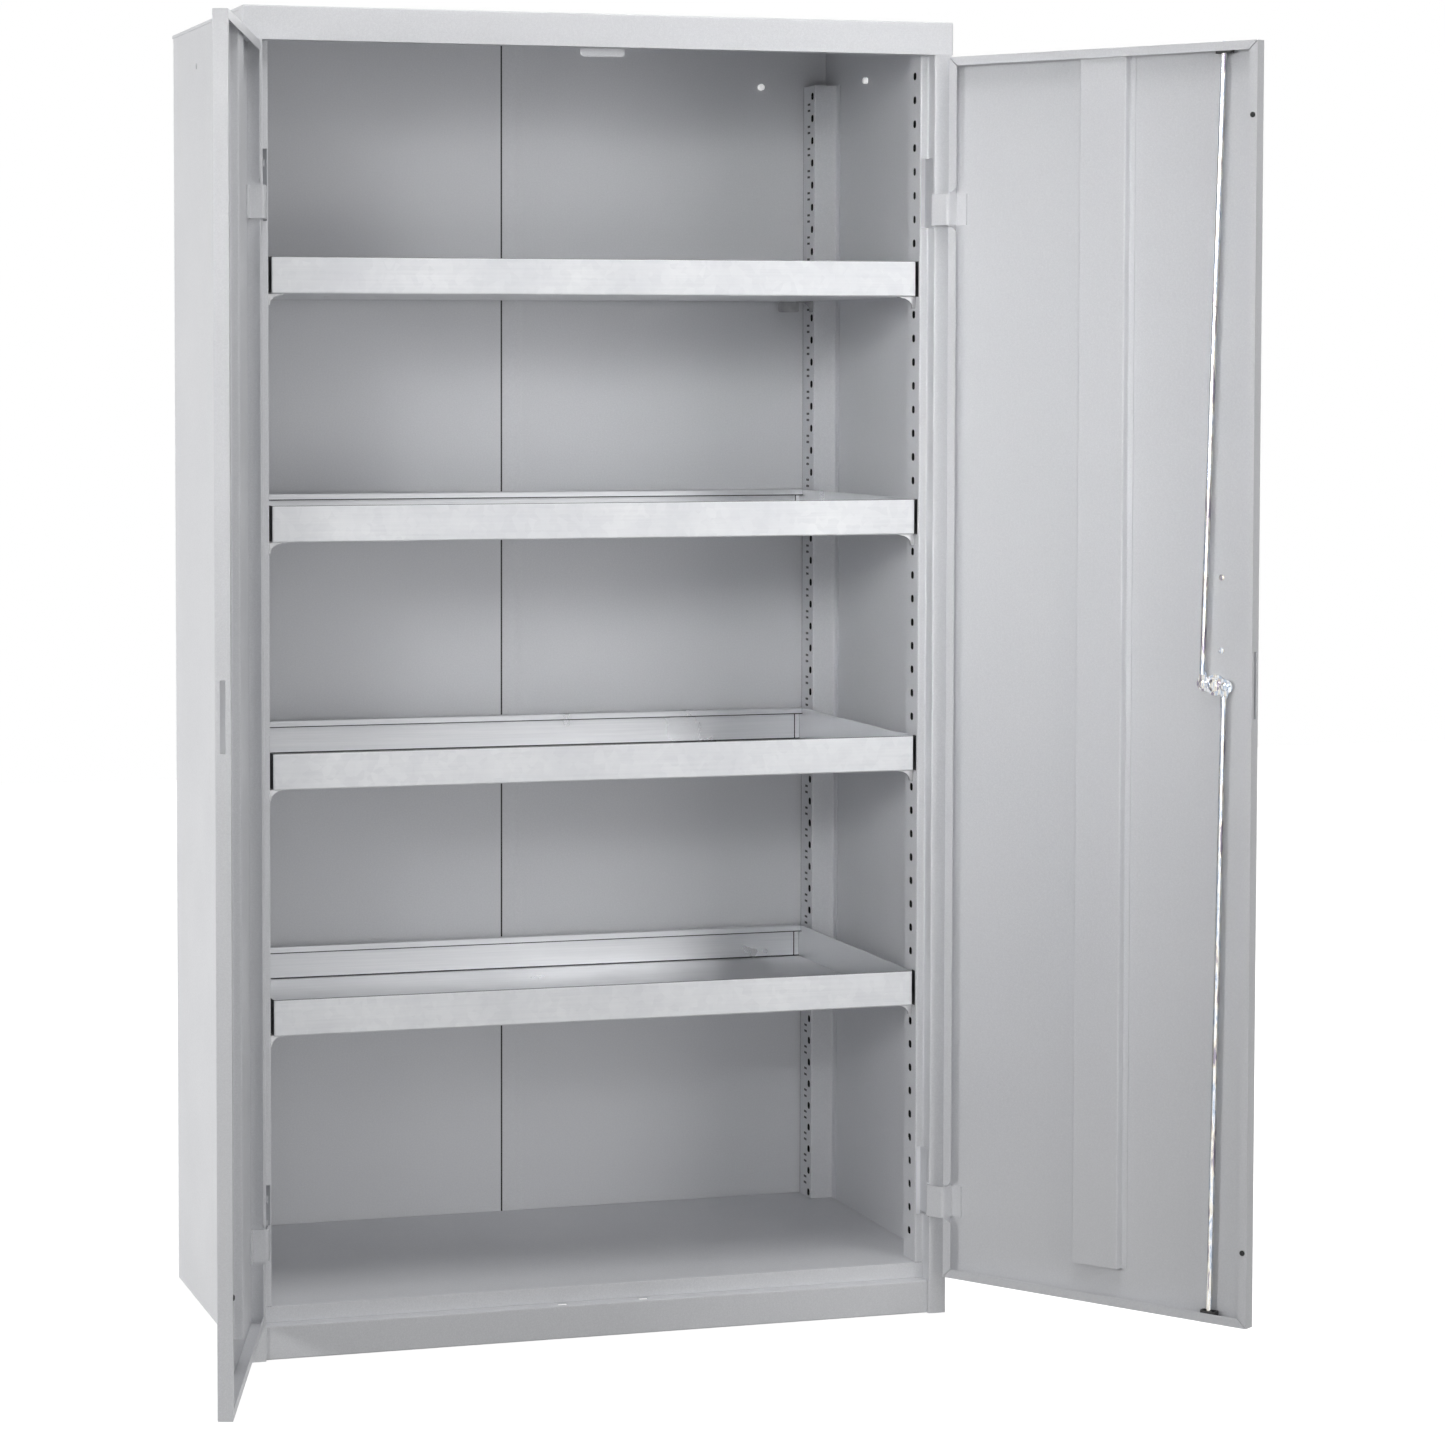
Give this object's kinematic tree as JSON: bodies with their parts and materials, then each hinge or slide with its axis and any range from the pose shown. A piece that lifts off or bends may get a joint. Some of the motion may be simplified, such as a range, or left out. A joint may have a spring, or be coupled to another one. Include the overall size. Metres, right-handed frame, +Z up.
{
  "type": "two-door sump-tray cupboard",
  "caption": "Steel two-door cupboard for hazardous liquids, with galvanised sump trays on hooked clips, hinged pan doors and a rotary rod lock.",
  "frame": {"origin": "on the floor, at the middle of the plinth's bottom flange", "axes": "+Z up, +Y from the front to the back, +X to the right seen from the front"},
  "size_m": [1.4082, 0.9649, 1.8],
  "materials": {
    "powder_coat": "light grey powder coat, fine texture, satin",
    "galvanised": "galvanised sheet with faint spangle",
    "zinc": "bright zinc plating with a faint iridescent passivation",
    "steel": "turned steel",
    "black_plastic": "black moulded plastic, satin",
    "rubber": "soft black rubber"
  },
  "bodies": {
    "root": {"back_panel_left": "powder_coat", "back_panel_right": "powder_coat", "base_deck": "powder_coat", "clip_1_front_left": "zinc", "clip_1_front_right": "zinc", "clip_1_rear_left": "zinc", "clip_1_rear_right": "zinc", "clip_2_front_left": "zinc", "clip_2_front_right": "zinc", "clip_2_rear_left": "zinc", "clip_2_rear_right": "zinc", "clip_3_front_left": "zinc", "clip_3_front_right": "zinc", "clip_3_rear_left": "zinc", "clip_3_rear_right": "zinc", "clip_4_front_left": "zinc", "clip_4_front_right": "zinc", "clip_4_rear_left": "zinc", "clip_4_rear_right": "zinc", "hinge_pin_lower_left": "zinc", "hinge_pin_lower_right": "zinc", "hinge_pin_upper_left": "zinc", "hinge_pin_upper_right": "zinc", "plinth": "powder_coat", "rear_upright_left": "powder_coat", "rear_upright_right": "powder_coat", "roof": "powder_coat", "side_panel_left": "powder_coat", "side_panel_right": "powder_coat", "stop_plate": "powder_coat", "tray_1": "galvanised", "tray_2": "galvanised", "tray_3": "galvanised", "tray_4": "galvanised"},
    "right_door": {"buffer_lower_right": "rubber", "buffer_upper_right": "rubber", "door_right": "powder_coat", "door_stiffener_right": "powder_coat", "handle_base": "black_plastic", "handle_screw_lower": "zinc", "handle_screw_upper": "zinc", "hinge_arm_lower_right": "powder_coat", "hinge_arm_upper_right": "powder_coat", "lock_nut": "zinc", "rod_guide_lower": "black_plastic", "rod_guide_upper": "black_plastic"},
    "left_door": {"buffer_lower_left": "rubber", "door_left": "powder_coat", "door_stiffener_left": "powder_coat", "hinge_arm_lower_left": "powder_coat", "hinge_arm_upper_left": "powder_coat"},
    "lock_cam": {"lock_cam": "zinc", "handle_lever": "black_plastic", "key_barrel": "steel"},
    "upper_rod": {"lock_rod_upper": "zinc"},
    "lower_rod": {"lock_rod_lower": "zinc"}
  },
  "joints": [
    {"name": "right_door_hinge", "type": "hinge", "parent": "root", "child": "right_door", "pos_m": [0.4885, -0.0113, 0], "axis": [0, 0, 1], "range_deg": [-126, 2]},
    {"name": "left_door_hinge", "type": "hinge", "parent": "root", "child": "left_door", "pos_m": [-0.4885, -0.0113, 0], "axis": [0, 0, 1], "range_deg": [-21.4, 106.6]},
    {"name": "lock_turn", "type": "hinge", "parent": "right_door", "child": "lock_cam", "pos_m": [0.73781, -0.35735, 0.905], "axis": [0.809, 0.5878, 0], "range_deg": [0, 90]},
    {"name": "upper_rod_pivot", "type": "hinge", "parent": "lock_cam", "child": "upper_rod", "pos_m": [0.72833, -0.34429, 0.90641], "axis": [0.809, 0.5878, 0], "range_deg": [-91.25, 0]},
    {"name": "lower_rod_pivot", "type": "hinge", "parent": "lock_cam", "child": "lower_rod", "pos_m": [0.7473, -0.3704, 0.90359], "axis": [0.809, 0.5878, 0], "range_deg": [-91.25, 0]}
  ],
  "couplings": [
    {"joint": "upper_rod_pivot", "follows": "lock_turn", "ratio": -1.0131},
    {"joint": "lower_rod_pivot", "follows": "lock_turn", "ratio": -1.0132}
  ]
}
